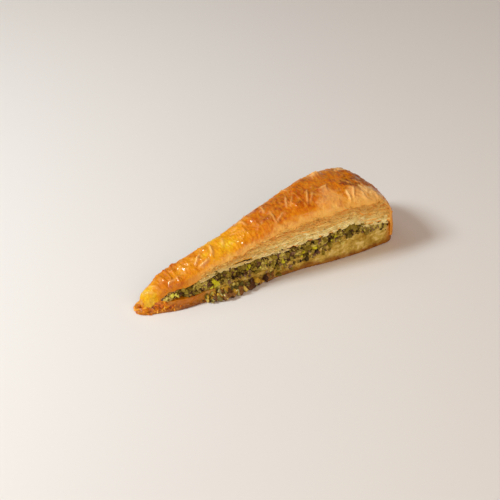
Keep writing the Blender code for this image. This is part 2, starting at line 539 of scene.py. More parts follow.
class Brush:
    """Builds one material's nodes."""

    def __init__(self, name: str) -> None:
        """Starts a material with one Principled surface.

        Args:
            name: The material's name.
        """
        self.material = bpy.data.materials.new(name)
        self.material.use_nodes = True
        self.tree = self.material.node_tree
        self.surface = self.tree.nodes["Principled BSDF"]
        self.place = self.node("ShaderNodeTexCoord", {}, {}).outputs["Object"]

    def node(self, kind: str, settings: dict, sockets: dict) -> bpy.types.Node:
        """Adds a node.

        Args:
            kind: The node's type.
            settings: Its properties, and the stops of its ramp as "stops", set first.
            sockets: The values, sockets or signals of its inputs.

        Returns:
            The node.
        """
        node = self.tree.nodes.new(kind)
        for key, value in settings.items():
            if key == "stops":
                self._set_stops(node.color_ramp, value)
            else:
                setattr(node, key, value)
        for key, value in sockets.items():
            self._feed(node.inputs[key], value)
        return node

    @staticmethod
    def _set_stops(ramp: bpy.types.ColorRamp, stops: Sequence[tuple[float, Colour]]) -> None:
        """Sets a ramp's colours at their positions."""
        while len(ramp.elements) < len(stops):
            ramp.elements.new(0.5)
        for element, (position, colour) in zip(ramp.elements, stops):
            element.position = position
            element.color = (*colour, 1.0)

    def _feed(self, socket: bpy.types.NodeSocket, value: object) -> None:
        """Links a socket or sets its value."""
        if isinstance(value, (Signal, bpy.types.NodeSocket)):
            self.tree.links.new(getattr(value, "socket", value), socket)
        elif isinstance(value, tuple) and socket.type == "RGBA":
            socket.default_value = (*value, 1.0)
        else:
            socket.default_value = value

    def set(self, **inputs: object) -> None:
        """Sets or links the surface's inputs; an underscore stands for a space."""
        for key, value in inputs.items():
            self._feed(self.surface.inputs[key.replace("_", " ")], value)

    def glow(self, weight: float, radius: Colour, scale: float) -> None:
        """Lets some light pass under the surface."""
        self.set(Subsurface_Weight=weight, Subsurface_Radius=radius, Subsurface_Scale=scale)

    def attribute(self, name: str) -> Signal:
        """A number that is stored at the vertices."""
        node = self.node("ShaderNodeAttribute", {"attribute_name": name}, {})
        return Signal(self, node.outputs["Fac"])

    def noise(self, lump: float, detail: float = 2.0, stretch: Colour | None = None,
              twist: float = 0.0) -> Signal:
        """A cloudy pattern.

        Args:
            lump: The width of a lump, in metres.
            detail: How many finer patterns are added.
            stretch: A scale for each axis, above 1 where lumps are narrower.
            twist: How much the pattern is distorted.

        Returns:
            A number of about 0 to 1.
        """
        vector = self.place
        if stretch:
            vector = self.node("ShaderNodeMapping", {},
                               {"Vector": vector, "Scale": stretch}).outputs["Vector"]
        node = self.node("ShaderNodeTexNoise", {},
                         {"Vector": vector, "Scale": 1 / lump, "Detail": detail,
                          "Roughness": 0.55, "Distortion": twist})
        return Signal(self, node.outputs["Fac"])

    def ridges(self, lump: float, stretch: Colour, twist: float) -> Signal:
        """Thin lines, 1 on the line and falling to 0, that wander over the surface."""
        cloud = self.noise(lump, 1.0, stretch, twist)
        return (1 - 3.2 * (2 * cloud - 1).absolute()).clamped()

    def specks(self, cell: float) -> Signal:
        """The distance to the nearest of many scattered points, in cells."""
        node = self.node("ShaderNodeTexVoronoi", {}, {"Vector": self.place, "Scale": 1 / cell})
        return Signal(self, node.outputs["Distance"])

    def ramp(self, signal: Signal, *stops: tuple[float, Colour]) -> bpy.types.NodeSocket:
        """A colour that follows a signal through stops."""
        return self.node("ShaderNodeValToRGB", {"stops": stops}, {"Fac": signal}).outputs["Color"]

    def mixed(self, factor: object, first: object, second: object) -> bpy.types.NodeSocket:
        """Two colours mixed by a factor."""
        node = self.node("ShaderNodeMix", {"data_type": "RGBA"}, {0: factor, 6: first, 7: second})
        return node.outputs[2]

    def bump(self, height: Signal, depth: float, strength: float) -> bpy.types.NodeSocket:
        """A normal that is tilted by a height pattern of a depth in metres."""
        node = self.node("ShaderNodeBump", {},
                         {"Height": height, "Distance": depth, "Strength": strength})
        return node.outputs["Normal"]


# ---------------------------------------------------------------- finishes


@dataclass(frozen=True)
class CrustFinish:
    """Thin baked leaves under a film of syrup. It reads "toast", how dark the crust is baked,
    "skin", where a pale, dried leaf lies on top and painted highlights run along the folds, and
    "hem", 1 on its dull lower edge."""

    cream: Colour = srgb(240, 196, 50)
    yellow: Colour = srgb(238, 184, 12)
    gold: Colour = srgb(232, 152, 10)
    amber: Colour = srgb(218, 126, 4)
    orange: Colour = srgb(204, 102, 2)
    brown: Colour = srgb(136, 56, 10)
    pale_skin_and_highlight: Colour = srgb(255, 202, 124)
    tan: Colour = srgb(246, 190, 96)
    scorch_and_shade: Colour = srgb(160, 62, 6)
    lit: Colour = srgb(240, 168, 24)

    def make(self) -> bpy.types.Material:
        """Builds the material.

        Returns:
            The material.
        """
        b = Brush("glazed crust")
        clouds = b.noise(7 * MM, 4.0, twist=0.6)
        fibres = b.noise(1.8 * MM, 3.0, (1.8, 0.7, 0.7), 0.4)
        wrinkles = b.ridges(5 * MM, (1.8, 0.7, 0.7), 0.8)
        crackle = b.ridges(2.4 * MM, (1.3, 0.8, 0.8), 0.6)
        film = b.noise(6 * MM)
        toast = b.attribute("toast") + 0.58 * (clouds - 0.5) + 0.42 * (fibres - 0.5)
        # baked leaves, with scorched freckles, painted shade in the cracks, painted highlights on
        # the wrinkles, and pale skin on top that also carries painted highlights along the folds
        colour = b.ramp(toast, (0.05, self.cream), (0.22, self.yellow), (0.4, self.gold),
                        (0.6, self.amber), (0.8, self.orange), (1.0, self.brown))
        freckles = (1 - b.specks(1.3 * MM).stepped(0.10, 0.40)) * clouds.stepped(0.45, 0.65)
        colour = b.mixed(freckles * 0.5, colour, self.scorch_and_shade)
        # painted shade: the cracks, sunk as grooves in the bump, are painted darker
        colour = b.mixed(crackle * 0.28, colour, self.scorch_and_shade)
        # painted highlight: the raised wrinkle lines are painted lighter
        colour = b.mixed(wrinkles * fibres.stepped(0.3, 0.6) * 0.40, colour, self.lit)
        # pale, dried leaf in patches, and painted highlights along the fold ridges
        colour = b.mixed((b.attribute("skin") * 0.8).clamped(), colour, self.pale_skin_and_highlight)
        hem = (b.attribute("hem") * (0.6 + 0.8 * fibres)).clamped()
        relief = 0.45 * fibres + 0.35 * wrinkles - 0.25 * crackle + 0.3 * b.noise(0.8 * MM, 3.0)
        b.set(Base_Color=b.mixed(hem, colour, self.tan), Roughness=0.45 + 0.2 * film,
              Specular_IOR_Level=0.08, Coat_IOR=1.40, Coat_Roughness=0.13,
              Coat_Weight=(0.6 + 3.6 * (film - 0.5)).clamped() * (1 - 0.9 * hem),
              Normal=b.bump(relief, 0.42 * MM, 0.55))
        b.glow(0.12, (1.0, 0.45, 0.15), 1.0 * MM)
        return b.material


@dataclass(frozen=True)
class LeafFinish:
    """The cut edges of thin leaves. It reads "toast", from pale to browned, and "soak", how
    much syrup a leaf holds."""

    cream: Colour = srgb(255, 242, 178)
    pale: Colour = srgb(250, 226, 146)
    tan: Colour = srgb(244, 196, 98)
    orange: Colour = srgb(224, 146, 44)
    syrup: Colour = srgb(196, 136, 24)

    def make(self) -> bpy.types.Material:
        """Builds the material.

        Returns:
            The material.
        """
        b = Brush("cut leaves")
        clouds = b.noise(6 * MM, 3.0, (0.5, 1.0, 1.6))
        fibres = b.noise(0.8 * MM, 3.0, (0.7, 1.0, 1.3))
        toast = b.attribute("toast") + 0.6 * (clouds - 0.5) + 0.25 * (fibres - 0.5)
        colour = b.ramp(toast, (0.0, self.cream), (0.22, self.pale), (0.55, self.tan),
                        (0.95, self.orange))
        soaked = (b.attribute("soak") + 0.5 * (clouds - 0.5)).clamped() * 0.8
        b.set(Base_Color=b.mixed(soaked, colour, self.syrup), Roughness=0.55,
              Coat_Weight=soaked * 0.6, Coat_Roughness=0.2,
              Normal=b.bump(fibres, 0.2 * MM, 0.6))
        b.glow(0.2, (1.0, 0.6, 0.25), 1.2 * MM)
        return b.material


@dataclass(frozen=True)
class SoakedFinish:
    """Soft leaves full of syrup over a browned base. It reads "base", 1 on the browned
    underside, and "amber", where the syrup has darkened the pastry."""

    cream: Colour = srgb(226, 202, 128)
    pale: Colour = srgb(204, 174, 82)
    olive: Colour = srgb(156, 124, 34)
    brown: Colour = srgb(150, 94, 16)
    amber: Colour = srgb(190, 110, 0)
    dark: Colour = srgb(116, 56, 8)

    def make(self) -> bpy.types.Material:
        """Builds the material.

        Returns:
            The material.
        """
        b = Brush("soaked leaves")
        clouds = b.noise(6 * MM, 3.0, twist=0.5)
        streaks = b.noise(2.0 * MM, 4.0, (0.8, 1.0, 1.0), 0.5)
        layers = b.noise(1.8 * MM, 2.0, (0.22, 0.3, 1.6), 0.8)
        wet = 0.42 + 1.8 * (streaks - 0.48) + 0.6 * (layers - 0.5) + 2.2 * (clouds - 0.5)
        colour = b.ramp(wet, (0.0, self.cream), (0.3, self.pale), (0.9, self.olive))
        amber = (b.attribute("amber") + 0.5 * (clouds - 0.5)).clamped()
        colour = b.mixed(amber, colour, self.amber)
        base = (b.attribute("base") + 0.8 * (b.noise(2.5 * MM, 4.0) - 0.5)).stepped(0.1, 1.0)
        browned = b.mixed(b.noise(3 * MM, 3.0).stepped(0.42, 0.62), self.brown, self.dark)
        b.set(Base_Color=b.mixed(base * 0.92, colour, browned), Roughness=0.45 + 0.2 * streaks,
              Specular_IOR_Level=0.1, Coat_Weight=(0.05 + 0.35 * amber).clamped(),
              Coat_Roughness=0.15, Normal=b.bump(0.5 * layers + 0.5 * streaks, 0.4 * MM, 0.7))
        b.glow(0.2, (1.0, 0.65, 0.2), 1.5 * MM)
        return b.material


@dataclass(frozen=True)
class BitFinish:
    """Chopped nuts, crumbs and flakes. It reads "tint", one number for each bit.

    Args:
        name: The material's name.
        dark: The colour of the darkest bits.
        middle: The colour of most bits.
        light: The colour of the lightest bits.
        gloss: How wet the bits look.
        lump: The width of the patches on a bit.
        patchy: How much the patches differ.
    """

    name: str
    dark: Colour
    middle: Colour
    light: Colour
    gloss: float = 0.12
    lump: float = 1.6 * MM
    patchy: float = 0.4

    def make(self) -> bpy.types.Material:
        """Builds the material.

        Returns:
            The material.
        """
        b = Brush(self.name)
        clouds = b.noise(self.lump, 3.0, twist=0.4)
        tint = b.attribute("tint") + self.patchy * (clouds - 0.5)
        b.set(Base_Color=b.ramp(tint, (0.0, self.dark), (0.5, self.middle), (1.0, self.light)),
              Roughness=0.5 + 0.2 * clouds, Specular_IOR_Level=0.2, Coat_Weight=self.gloss,
              Coat_Roughness=0.18, Normal=b.bump(b.noise(0.5 * MM), 0.12 * MM, 0.6))
        b.glow(0.1, (0.8, 0.6, 0.2), 0.8 * MM)
        return b.material


@dataclass(frozen=True)
class FloorFinish:
    """A plain pale floor."""

    colour: Colour = srgb(232, 225, 219)

    def make(self) -> bpy.types.Material:
        """Builds the material.

        Returns:
            The material.
        """
        b = Brush("pale floor")
        b.set(Base_Color=self.colour, Roughness=0.5)
        return b.material


# ---------------------------------------------------------------- the upper block


@dataclass(frozen=True)
class Fold:
    """A ridge of lifted skin on the crust, in millimetres.

    Args:
        x: X of one end.
        y: Y of that end.
        to_x: X of the other end.
        to_y: Y of the other end.
        height: How far it stands up in the middle.
        width: Half its width.
    """

    x: float
    y: float
    to_x: float
    to_y: float
    height: float
    width: float

    def lift(self, p: Array) -> Array:
        """How far the fold lifts the skin at each place, in metres.

        Args:
            p: The places.

        Returns:
            One height for each place.
        """
        start = MM * np.array([self.x, self.y])
        run = MM * np.array([self.to_x, self.to_y]) - start
        t = np.clip((p[:, :2] - start) @ run / (run @ run), 0, 1)
        away = np.linalg.norm(p[:, :2] - start - t[:, None] * run, axis=1) / (self.width * MM)
        away = away + 0.25 * grain(p, 1.5 * MM, 19)
        return self.height * MM * np.exp(-(away ** 2)) * (0.25 + 3 * t * (1 - t))


@dataclass
class Crust:
    """The domed top: baked leaves that wrinkle, blister and roll down over the wide end.

    Args:
        gauge: The frame's sizes.
        voxel: The size of its faces.
        edge_share: The height of its lower edge on the cut faces, as a share of the crest.
        recess: How far the block stands back behind the leaf edges.
        apron: How much lower the skin reaches over the wide end than the frame's block.
        lap: How far it droops at the point.
        spot: The darkest spot, in millimetres: X, Y and its half sizes along X and Y.
        patches: Where a pale leaf lies on top: X, Y and reach in millimetres, and strength.
        folds: The larger ridges of its skin.
    """

    gauge: Gauge
    voxel: float = 0.46 * MM
    edge_share: float = 0.78
    recess: float = 1.0 * MM
    apron: float = 6.8 * MM
    lap: float = 1.5 * MM
    spot: tuple[float, float, float, float] = (59, -5, 8.5, 5.5)
    patches: tuple[tuple[float, float, float, float], ...] = (
        (68, -18, 9, 1.0), (58, -16, 7, 0.5), (40, -13, 9, 0.4), (66, 17, 8, 0.7))
    folds: tuple[Fold, ...] = (
        Fold(-78, 0, -73, -4.5, 0.7, 0.6),
        Fold(-74, 3, -70, -4, 0.7, 0.6),
        Fold(-64, -5, -56, -4, 0.8, 0.6),
        Fold(-46, -4, -40, 2, 1.5, 0.7),
        Fold(-45, -6, -38, -5.5, 1.5, 0.8),
        Fold(-35, -5, -32, 4, 1.5, 0.8),
        Fold(-27, -3, -24, 4, 0.7, 0.9),
        Fold(-10.5, 9, -9, 1, 0.9, 0.8),
        Fold(3.5, 2, 5.5, 9, 0.8, 0.7),
        Fold(6, 0, 4.5, -10, 0.8, 0.6),
        Fold(4.5, -10, 12, -6, 0.8, 0.7),
        Fold(20, 5, 15.5, -4, 0.9, 0.6),
        Fold(23, 2, 17.5, -5, 0.6, 0.6),
        Fold(32.5, 1, 26, -10, 0.9, 0.6),
        Fold(34, -3, 28, -10, 0.6, 0.6),
        Fold(44, -3, 38, -4, 0.6, 0.7),
        Fold(51.5, -12, 50, -19, 0.9, 0.6),
        Fold(57, -11, 53, -18, 0.8, 0.6),
        Fold(60, -14, 60.5, -20, 0.7, 0.7),
        Fold(68, -14, 70, -21, 0.7, 0.9),
        Fold(24, 8, 22, 15, 0.7, 0.8),
        Fold(42, 11, 50, 14, 1.3, 2.4),
        Fold(62, -3, 66, -9, 0.6, 0.6),
        Fold(56, -1, 59, -8, 0.6, 0.6),
    )

    def opened(self, x: Array) -> Array:
        """How far the leaf edges show on the cut faces, from 0 near the point to 1."""
        return ease(self.gauge.along(x), 0.15, 0.26)

    def edge(self, x: Array) -> Array:
        """The height of the crust's lower edge on the cut faces.

        Args:
            x: Places along the slice.

        Returns:
            One height for each place.
        """
        line = np.column_stack([x, x * 0, x * 0])
        ragged = 1.1 * MM * grain(line, 9 * MM, 5, 2) + 0.7 * MM * grain(line, 2.2 * MM, 6, 3)
        return self.edge_share * self.gauge.crest(x) + ragged

    def _creased(self, p: Array) -> Array:
        """How far the larger folds lift the skin."""
        crest = self.gauge.crest(p[:, 0])
        return ease(p[:, 2], 0.5 * crest, 0.7 * crest) * sum(f.lift(p) for f in self.folds)

    def _relief(self, p: Array) -> Array:
        """How far the crust stands out of its smooth dome, without its larger folds.

        Args:
            p: The places of the vertices.

        Returns:
            One distance for each vertex.
        """
        bent = p + 1.6 * MM * np.column_stack([grain(p, 9 * MM, seed) for seed in (7, 8, 9)])
        lively = 0.8 + 0.5 * hill(self.gauge.along(p[:, 0]), 0.20, 0.18)
        dents = 0.50 * MM * grain(bent, (10 * MM, 8 * MM, 11 * MM), 11)
        wrinkles = 0.70 * MM * creases(bent, (4.5 * MM, 11 * MM, 12 * MM), 12, 5.0)
        fine = 0.34 * MM * creases(bent, (2.6 * MM, 4.5 * MM, 5 * MM), 13, 3.0)
        pits = 0.22 * MM * grain(bent, 1.8 * MM, 14, 2)
        torn = 0.25 * MM * ease(grain(bent, (11 * MM, 8 * MM, 12 * MM), 15, 3), 0.10, 0.15)
        patchy = ease(grain(p, 16 * MM, 16), -0.35, 0.25)
        return (dents + (wrinkles + fine) * patchy) * lively + pits + torn - 0.3 * MM

    def _toast(self, p: Array, n: Array) -> Array:
        """How dark the crust is baked.

        Args:
            p: The places of the vertices.
            n: The normals of the vertices.

        Returns:
            One number for each vertex, from 0 for pale to about 1 for brown.
        """
        along = self.gauge.along(p[:, 0])
        share = p[:, 2] / self.gauge.crest(p[:, 0])
        toast = 0.82 + 0.10 * grain(p, 12 * MM, 21, 2)
        toast += 0.20 * grain(p, 6 * MM, 23, 2) * ease(along, 0.36, 0.24)
        # darkest past the middle, pale where the slice narrows and palest at the point
        toast += 0.05 * hill(along, 0.58, 0.10)
        toast -= 0.46 * hill(along, 0.33, 0.12)
        toast -= 0.10 * hill(along, 0.14, 0.05)
        toast -= 0.52 * hill(along, 0.035, 0.05)
        # paler down the sides and towards the lower edge
        toast -= 0.20 * ease(np.abs(n[:, 1]), 0.1, 0.6) * ease(along, 0.45, 0.62)
        toast -= ease(share, 0.95, 0.76) * (0.14 + 0.12 * grain(p, 3 * MM, 24, 2))
        toast -= 0.10 * ease(share, 0.8, 0.4) * ease(along, 0.48, 0.30)
        x, y, half_x, half_y = (MM * value for value in self.spot)
        spot = np.hypot((p[:, 0] - x) / half_x, (p[:, 1] - y) / half_y)
        return toast + 0.40 * ease(-spot + 0.9 * grain(p, 2.6 * MM, 22, 3), -1.0, -0.2)

    def _skin(self, p: Array, n: Array, lift: Array) -> Array:
        """Where a pale, dried leaf lies on top: on the folds, where it is partly a painted
        highlight, and in patches at the wide end.

        Args:
            p: The places of the vertices.
            n: The normals of the vertices.
            lift: How far the larger folds lift each vertex.

        Returns:
            One number for each vertex, from 0 to 1.
        """
        patches = np.zeros(len(p))
        ragged = 0.5 * grain(p, 3 * MM, 25, 3)
        for x, y, reach, strength in self.patches:
            away = np.hypot(p[:, 0] - x * MM, p[:, 1] - y * MM) / (reach * MM)
            patches += strength * ease(-away + ragged, -1.15, -0.55)
        # the fold ridges are painted pale: partly a lifted leaf that is paler, partly a painted
        # highlight where they catch the light
        ridge = 0.62 * lift / MM * ease(n[:, 2], 0.1, 0.4)
        return np.clip(patches * ease(n[:, 2], 0.15, 0.4) + ridge, 0, 1)

    def _hem(self, p: Array, n: Array) -> Array:
        """Where the crust turns dull and tan, towards its lower edge on the cut faces.

        Args:
            p: The places of the vertices.
            n: The normals of the vertices.

        Returns:
            One number for each vertex, from 0 to 1.
        """
        share = p[:, 2] / self.gauge.crest(p[:, 0])
        share = share + 0.05 * grain(p, (3 * MM, 3 * MM, 6 * MM), 26, 3)
        along = self.gauge.along(p[:, 0])
        ends = ease(along, 0.12, 0.3) * ease(along, 0.985, 0.95)
        return ease(share, 0.96, 0.80) * ends * ease(np.abs(n[:, 1]), 0.25, 0.6)

    def _lowered(self, p: Array, n: Array, cut: Array) -> Array:
        """How the lower edge is moved: ragged, over the filling, the wide end and the point.

        Args:
            p: The places of the vertices.
            n: The normals of the vertices.
            cut: 1 on the cut faces and 0 elsewhere.

        Returns:
            The movement of each vertex.
        """
        g = self.gauge
        along, ceiling = g.along(p[:, 0]), g.ceiling(p[:, 0])
        near_foot = ease(p[:, 2], ceiling + 3 * MM, ceiling)
        # a ragged hem, hanging over the filling where no leaf edges show
        hem = near_foot * (1 - 0.5 * cut) * ease(along, 0.93, 0.86)
        down = -0.55 * MM * hem * grain(p * (1, 1, 0), 2.4 * MM, 17, 2)
        down += (ceiling - g.brim(p[:, 0])) * (1 - self.opened(p[:, 0])) * near_foot
        # the apron over the wide end, and the lap at the point
        end = ease(along, 0.94, 0.975) * ease(p[:, 2], 18 * MM, 10.5 * MM)
        down += end * (self.apron + 1.0 * MM * grain(p * (0, 1, 0), 4 * MM, 18, 2))
        lap = ease(along, 0.115, 0.07) * ease(p[:, 2], ceiling + 3 * MM, ceiling + 0.5 * MM)
        down += self.lap * lap
        out = n * (0.35 * end)[:, None] + n * (1, 1, 0) * (0.7 * lap)[:, None]
        return out * MM - down[:, None] * (0, 0, 1)

    def build(self) -> None:
        """Builds the piece that replaces the frame's upper block."""
        obj = kneaded("top_pastry", "crust", self.voxel, 8)
        p, n = corners(obj), outward(obj)
        edge, opened = self.edge(p[:, 0]), self.opened(p[:, 0])
        cut = ease(np.abs(n[:, 1]), 0.35, 0.7) * ease(self.gauge.along(p[:, 0]), 0.985, 0.96)
        behind = cut * ease(p[:, 2], edge + 0.3 * MM, edge - 0.7 * MM) * opened
        flush = cut * ease(p[:, 2], edge + 4 * MM, edge) * opened
        lift = self._creased(p)
        move = (self._relief(p) + lift) * (1 - 0.6 * flush) - 0.3 * MM * flush
        move = move * (1 - behind) * (1 - ease(-n[:, 2], 0.3, 0.8)) - self.recess * behind
        move_corners(obj, p + n * move[:, None] + self._lowered(p, n, cut))
        paint(obj, toast=np.where(behind > 0.5, 0.42, self._toast(p, n)),
              skin=self._skin(p, n, lift) * (1 - behind),
              hem=np.maximum(self._hem(p, n), behind))
        finish_piece(obj, CrustFinish().make(), ("top_pastry",))


@dataclass(frozen=True)
class Crack:
    """A lens-shaped opening between two leaves, in millimetres.

    Args:
        middle: X of its middle.
        leaf: The leaf above which it opens, counted from the filling.
        reach: Half its length.
        opening: Half its height.
        side: The cut face that it is on.
    """

    middle: float
    leaf: int
    reach: float
    opening: float
    side: Side = Side.NEAR

    def lift(self, x: Array, leaf: int) -> Array:
        """How far the crack lifts a leaf, or presses it down, in metres.

        Args:
            x: Places along the slice.
            leaf: The leaf's number.

        Returns:
            One height for each place.
        """
        apart = leaf - self.leaf - 0.5
        share = math.copysign(math.exp(-abs(apart) / 2.2), apart)
        return self.opening * MM * share * hill(x, self.middle * MM, self.reach * MM)


@dataclass
class Leaves:
    """The leaf edges that show on the two cut faces of the upper block.

    Args:
        gauge: The frame's sizes.
        crust: The crust that they run under.
        count: How many leaves each face shows at most.
        pitch: The height from one leaf to the next.
        thickness: A leaf's thickness at its edge.
        depth: How far each strip runs into the block.
        tuck: How far back a strip stands where it doesn't show.
        segments: How many lengths a strip is divided into.
        ends: How far the strips stay from the frame's two ends.
        heavy: How many of the lowest leaves are thicker.
        cracks: The larger openings between them.
    """

    gauge: Gauge
    crust: Crust
    count: int = 22
    pitch: float = 0.80 * MM
    thickness: float = 0.66 * MM
    depth: float = 2.2 * MM
    tuck: float = 2.4 * MM
    segments: int = 360
    ends: tuple[float, float] = (22 * MM, 2 * MM)
    heavy: int = 4
    cracks: tuple[Crack, ...] = (
        Crack(19, 9, 9, 0.8),
        Crack(31, 11, 8, 0.9),
        Crack(33, 7, 7, 0.5),
        Crack(44, 6, 9, 0.5),
        Crack(58, 10, 8, 0.6),
        Crack(62, 5, 9, 0.5),
        Crack(2, 5, 8, 0.45),
        Crack(25, 8, 9, 0.8, Side.FAR),
        Crack(50, 11, 8, 0.6, Side.FAR),
        Crack(5, 5, 8, 0.5, Side.FAR),
    )

    def _blank(self) -> Shape:
        """One plain strip along X, divided lengthwise, which every leaf starts from.

        Returns:
            The places of its vertices, and the vertices of each face.
        """
        bpy.ops.mesh.primitive_grid_add(x_subdivisions=self.segments, y_subdivisions=1, size=1.0)
        strip = added("leaf")
        bpy.ops.object.mode_set(mode="EDIT")
        bpy.ops.mesh.select_all(action="SELECT")
        bpy.ops.mesh.extrude_region_move(TRANSFORM_OT_translate={"value": (0, 0, 1)})
        bpy.ops.mesh.select_all(action="SELECT")
        bpy.ops.transform.translate(value=(0, 0, -0.5))
        bpy.ops.mesh.normals_make_consistent(inside=False)
        bpy.ops.object.mode_set(mode="OBJECT")
        blank = corners(strip)
        faces = np.array([tuple(p.vertices) for p in strip.data.polygons if len(p.vertices) == 4])
        bpy.data.objects.remove(strip, do_unlink=True)
        return blank, faces

    def _height(self, x: Array, leaf: int, side: Side) -> Array:
        """A leaf's height above the filling at places along the slice.

        Args:
            x: Places along the slice.
            leaf: The leaf's number, counted from the filling.
            side: The cut face.

        Returns:
            One height for each place.
        """
        line = np.column_stack([x, np.full_like(x, leaf * 0.35), x * 0])
        rise = self.pitch * (leaf + 0.55)
        rise = rise + 0.55 * self.pitch * grain(line, (8 * MM, 1.0, 1.0), 40 + side.value, 3)
        return rise + sum(crack.lift(x, leaf) for crack in self.cracks if crack.side is side)

    def _shaped(self, blank: Array, leaf: int, side: Side) -> tuple[Array, Array]:
        """The strip's vertices laid along a cut face.

        Args:
            blank: The plain strip's vertices.
            leaf: The leaf's number, counted from the filling.
            side: The cut face.

        Returns:
            The vertices' places, and their heights as shares of the face.
        """
        g = self.gauge
        low, high = LOW_X + self.ends[0], HIGH_X - self.ends[1]
        x = low + (blank[:, 0] + 0.5) * (high - low)
        floor = g.brim(x) - 0.1 * MM
        room = np.maximum(self.crust.edge(x) - floor, 0.5 * MM)
        rise = self._height(x, leaf, side)
        share = rise / room
        middle = floor + np.minimum(rise, room)
        line = np.column_stack([x, np.full_like(x, leaf * 1.0), np.full_like(x, side.value * 1.0)])
        ragged = 0.26 * MM * grain(line, (5 * MM, 0.7, 1), 50, 4)
        ragged += 0.16 * MM * grain(line, (1.0 * MM, 0.7, 1), 51, 2)
        hidden = np.maximum.reduce([ease(share, 0.97, 1.08), 1 - self.crust.opened(x),
                                    ease(g.along(x), 0.955, 0.985)])
        edge = g.wall(x, middle) - 0.25 * MM + ragged - self.tuck * hidden
        outer = blank[:, 1] > 0
        thick = self.thickness * (0.75 + 0.45 * grain(line, (6 * MM, 0.7, 1), 52, 2))
        thick = thick + self.thickness * (0.35 * (leaf < self.heavy) + 0.25 * (leaf == 0))
        y = np.where(outer, edge, edge - self.depth)
        z = middle + np.sign(blank[:, 2]) * 0.5 * thick * np.where(outer, 0.8, 1.0)
        return np.column_stack([x, side.value * y, z]), share

    def build(self) -> None:
        """Builds the leaf edges of both cut faces as one piece."""
        blank, faces = self._blank()
        parts, shares = [], []
        for side in Side:
            for leaf in range(self.count):
                shaped, share = self._shaped(blank, leaf, side)
                parts.append((shaped, faces if side is Side.FAR else faces[:, ::-1]))
                shares.append(share)
        obj = assembled("cut_leaves", parts)
        p = corners(obj)
        along = self.gauge.along(p[:, 0])
        share = np.clip(np.concatenate(shares), 0, 1.1)
        toast = 0.85 * share ** 1.3 + 0.24 * grain(p, (7 * MM, 8 * MM, 0.9 * MM), 60, 2) - 0.04
        pale = np.hypot((p[:, 0] - 17 * MM) / (6 * MM), (p[:, 2] - 22.5 * MM) / (2.5 * MM))
        toast -= 0.5 * ease(pale + 0.4 * grain(p, 2 * MM, 61, 2), 1.2, 0.5)
        paint(obj, toast=toast + 0.3 * ease(along, 0.93, 0.98),
              soak=0.4 * ease(along, 0.5, 0.3) + 0.2 * ease(share, 0.2, 0.0))
        finish_piece(obj, LeafFinish().make(), smooth_angle=40)


# ---------------------------------------------------------------- loose bits


@dataclass
class BitShapes:
    """The few shapes of chopped nut and torn flake that every bit is a copy of.

    Args:
        seed: Picks the shapes.
        flake: A flake's thickness, as a share of its width.
    """

    seed: int = 3
    flake: float = 0.09

    def __post_init__(self) -> None:
        """Sets up the random numbers."""
        self.rng = np.random.default_rng(self.seed)

    def _jittered(self, obj: bpy.types.Object, amount: float) -> bpy.types.Object:
        """Moves every vertex a little at random, and returns the object.

        Args:
            obj: The object.
            amount: How far a vertex usually moves.

        Returns:
            The same object.
        """
        p = corners(obj)
        move_corners(obj, p + self.rng.normal(0, amount, p.shape))
        return obj

    def _chunk(self) -> bpy.types.Object:
        """A chopped cube with blunt edges.

        Returns:
            The chunk.
        """
        bpy.ops.mesh.primitive_cube_add(size=1.0)
        obj = added("chunk")
        bpy.ops.object.mode_set(mode="EDIT")
        bpy.ops.mesh.select_all(action="SELECT")
        bpy.ops.mesh.bevel(offset=0.16, segments=1, affect="EDGES")
        bpy.ops.transform.resize(value=tuple(self.rng.uniform((1.0, 0.6, 0.45), (1.5, 0.9, 0.8))))
        bpy.ops.object.mode_set(mode="OBJECT")
        return self._jittered(obj, 0.055)

    def _kernel_slice(self) -> bpy.types.Object:
        """A piece of a round kernel, cut flat on three sides.

        Returns:
            The slice.
        """
        bpy.ops.mesh.primitive_ico_sphere_add(subdivisions=2, radius=0.62)
        obj = added("kernel slice")
        bpy.ops.object.mode_set(mode="EDIT")
        for _ in range(3):
            bpy.ops.mesh.select_all(action="SELECT")
            normal = Vector(self.rng.normal(0, 1, 3)).normalized()
            bpy.ops.mesh.bisect(plane_co=normal * self.rng.uniform(0.12, 0.34), plane_no=normal,
                                use_fill=True, clear_outer=True)
        bpy.ops.mesh.select_all(action="SELECT")
        bpy.ops.transform.resize(value=tuple(self.rng.uniform((1.1, 0.8, 0.7), (1.6, 1.0, 0.9))))
        bpy.ops.object.mode_set(mode="OBJECT")
        return self._jittered(obj, 0.025)

    def _flake(self) -> bpy.types.Object:
        """A bent, torn sheet about 1 across, flat on the XY plane.

        Returns:
            The flake.
        """
        rng = self.rng
        bpy.ops.mesh.primitive_grid_add(x_subdivisions=4, y_subdivisions=3, size=1.0)
        obj = added("flake")
        bpy.ops.object.mode_set(mode="EDIT")
        for _ in range(3):
            bpy.ops.mesh.select_all(action="SELECT")
            angle = rng.uniform(0, 2 * math.pi)
            normal = Vector((math.cos(angle), math.sin(angle), 0))
            bpy.ops.mesh.bisect(plane_co=normal * rng.uniform(0.25, 0.45), plane_no=normal,
                                clear_outer=True)
        bpy.ops.object.mode_set(mode="OBJECT")
        p = corners(obj)
        p[:, 2] += rng.uniform(-0.5, 0.5) * p[:, 0] ** 2 + rng.uniform(-0.5, 0.5) * p[:, 1] ** 2
        move_corners(obj, p * (1.35, 0.7, 1.0))
        self._jittered(obj, 0.035)
        modified(obj, "SOLIDIFY", thickness=self.flake, offset=0.0)
        return obj

    def nuts(self) -> list[Shape]:
        """Models eight shapes of chopped nut."""
        return [taken_apart(model()) for model in (self._chunk, self._kernel_slice) * 4]

    def flakes(self) -> list[Shape]:
        """Models six shapes of torn flake."""
        return [taken_apart(self._flake()) for _ in range(6)]


